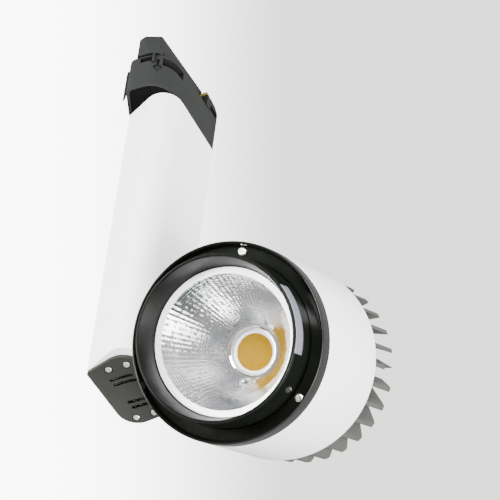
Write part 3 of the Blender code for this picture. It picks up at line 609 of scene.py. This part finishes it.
def make_emitter():
    """Yellow gel disc inside a dam ring, on the ceramic holder."""
    top = EMITTER_TOP
    gel_edge = top - GEL_DOME
    gel = [(0.0, EMITTER_LOW), (EMITTER_RADIUS, EMITTER_LOW), (EMITTER_RADIUS, gel_edge)]
    gel += [(EMITTER_RADIUS * (1 - t**2 * 0.25), gel_edge + GEL_DOME * t) for t in (0.3, 0.6)]
    gel += [(EMITTER_RADIUS * 0.5, top), (0.0, top)]
    head_piece("emitter_gel", turned(gel, 96, closed=False), (PHOSPHOR,), ("emitter",))
    profile = round_profile(
        (
            (EMITTER_RADIUS + DAM_GAP, EMITTER_LOW, 0),
            (HOLDER_RADIUS, EMITTER_LOW, 0.0002),
            (HOLDER_RADIUS, top + 0.0006, 0.0002),
            (RIDGE_OUTER, top + 0.0016, 0.0003),
            (RIDGE_INNER, top + 0.0008, 0.0002),
            (DAM_OUTER, top + 0.0007, 0.0002),
            (EMITTER_RADIUS + 0.0006, top + 0.0005, 0.0003),
            (EMITTER_RADIUS + DAM_GAP, top - 0.0001, 0.0002),
        ),
        4,
    )
    body = turned(profile, 96, pick=lambda r, z: 1 if r > DAM_METAL and z > top else 0)
    head_piece("emitter_dam", body, (CERAMIC, DAM_RING), ("emitter_holder",))


def make_label():
    """Blank label stuck on the snoot's outer wall."""
    body = bmesh.new()
    across, up = LABEL_STEPS
    start, end = LABEL_ARC
    grid = []
    for level in range(up + 1):
        z = LABEL_LOW + (LABEL_HIGH - LABEL_LOW) * level / up
        wall = SNOOT_RADIUS + (z - RIM_AHEAD) * (LIP_OUTER - SNOOT_RADIUS) / SNOOT_HEIGHT
        radius = wall + LABEL_LIFT
        angles = [math.radians(start + (end - start) * i / across) for i in range(across + 1)]
        grid.append([body.verts.new((radius * math.cos(a), radius * math.sin(a), z)) for a in angles])
    for low_row, high_row in zip(grid, grid[1:]):
        for i in range(across):
            body.faces.new((low_row[i], low_row[i + 1], high_row[i + 1], high_row[i]))
    piece = head_piece("blank_label", body, (LABEL,))
    thick = piece.modifiers.new("thickness", "SOLIDIFY")
    thick.thickness = LABEL_THICK
    thick.offset = 1.0


# ---------------------------------------------------------------- stage
def add_camera():
    """Camera far off with a long lens, below the object and looking up."""
    right = Vector(CAMERA_RIGHT).normalized()
    up = Vector(CAMERA_UP)
    up = (up - right * up.dot(right)).normalized()
    back = right.cross(up)
    data = bpy.data.cameras.new("camera")
    data.lens = CAMERA_LENS
    data.sensor_width = SENSOR_WIDTH
    data.clip_end = 100.0
    camera = bpy.data.objects.new("camera", data)
    turned_to = Matrix((right, up, back)).transposed().to_4x4()
    camera.matrix_world = Matrix.Translation(CAMERA_PLACE) @ turned_to
    bpy.context.scene.collection.objects.link(camera)
    bpy.context.scene.camera = camera


def add_light(name, way, distance, size, power):
    """Square soft light that stands off from the subject in direction way."""
    data = bpy.data.lights.new(name, "AREA")
    data.size = size
    data.energy = power
    lamp = bpy.data.objects.new(name, data)
    lamp.location = SUBJECT + Vector(way).normalized() * distance
    lamp.rotation_euler = (-Vector(way)).to_track_quat("-Z", "Y").to_euler()
    bpy.context.scene.collection.objects.link(lamp)


def add_floor():
    """Pale floor far below the object."""
    bpy.ops.mesh.primitive_plane_add(size=FLOOR_SIZE, location=(0.0, 0.0, FLOOR_Z))
    floor = bpy.context.object
    floor.name = "floor"
    pale = surface("pale_floor", (0.66, 0.665, 0.68), 0.7, 60.0, 0.05, spread=0.02)
    floor.data.materials.append(pale)


def add_world():
    """Plain room, dim ahead of the lamp head, and a pale backdrop that is brighter at the left."""
    world = bpy.data.worlds.new("room")
    bpy.context.scene.world = world
    world.use_nodes = True
    tree = world.node_tree
    tree.nodes.clear()

    def dot_with(way):
        """Cosine of the angle between the view direction and way."""
        place = tree.nodes.new("ShaderNodeTexCoord")
        node = tree.nodes.new("ShaderNodeVectorMath")
        node.operation = "DOT_PRODUCT"
        tree.links.new(place.outputs["Generated"], node.inputs[0])
        node.inputs[1].default_value = Vector(way).normalized()
        return node.outputs["Value"]

    def ramp(value, fade, first, second):
        """Change from the first colour to the second while value crosses the fade."""
        node = tree.nodes.new("ShaderNodeMapRange")
        node.interpolation_type = "SMOOTHSTEP"
        node.inputs["From Min"].default_value = fade[0]
        node.inputs["From Max"].default_value = fade[1]
        tree.links.new(value, node.inputs["Value"])
        mix = tree.nodes.new("ShaderNodeMix")
        mix.data_type = "RGBA"
        if isinstance(first, tuple):
            mix.inputs["A"].default_value = (*first, 1.0)
        else:
            tree.links.new(first, mix.inputs["A"])
        mix.inputs["B"].default_value = (*second, 1.0)
        tree.links.new(node.outputs["Result"], mix.inputs["Factor"])
        return mix.outputs["Result"]

    room = tree.nodes.new("ShaderNodeBackground")
    light = ramp(dot_with(WORLD_AHEAD), WORLD_AHEAD_FADE, WORLD_SKY, WORLD_DARK)
    light = ramp(dot_with(WORLD_TINT_WAY), WORLD_TINT_FADE, light, WORLD_TINT)
    tree.links.new(light, room.inputs["Color"])
    seen = tree.nodes.new("ShaderNodeBackground")
    backdrop = ramp(dot_with(CAMERA_RIGHT), BACKDROP_FADE, BACKDROP_LEFT, BACKDROP_RIGHT)
    tree.links.new(backdrop, seen.inputs["Color"])
    path = tree.nodes.new("ShaderNodeLightPath")
    mix = tree.nodes.new("ShaderNodeMixShader")
    out = tree.nodes.new("ShaderNodeOutputWorld")
    tree.links.new(path.outputs["Is Camera Ray"], mix.inputs["Fac"])
    tree.links.new(room.outputs["Background"], mix.inputs[1])
    tree.links.new(seen.outputs["Background"], mix.inputs[2])
    tree.links.new(mix.outputs["Shader"], out.inputs["Surface"])


add_camera()
add_world()
add_floor()
for light_name, light_values in LIGHTS.items():
    add_light(light_name, *light_values)
dress_cad()
make_bezel()
make_snoot()
make_sleeve()
make_reflector()
make_emitter()
make_label()
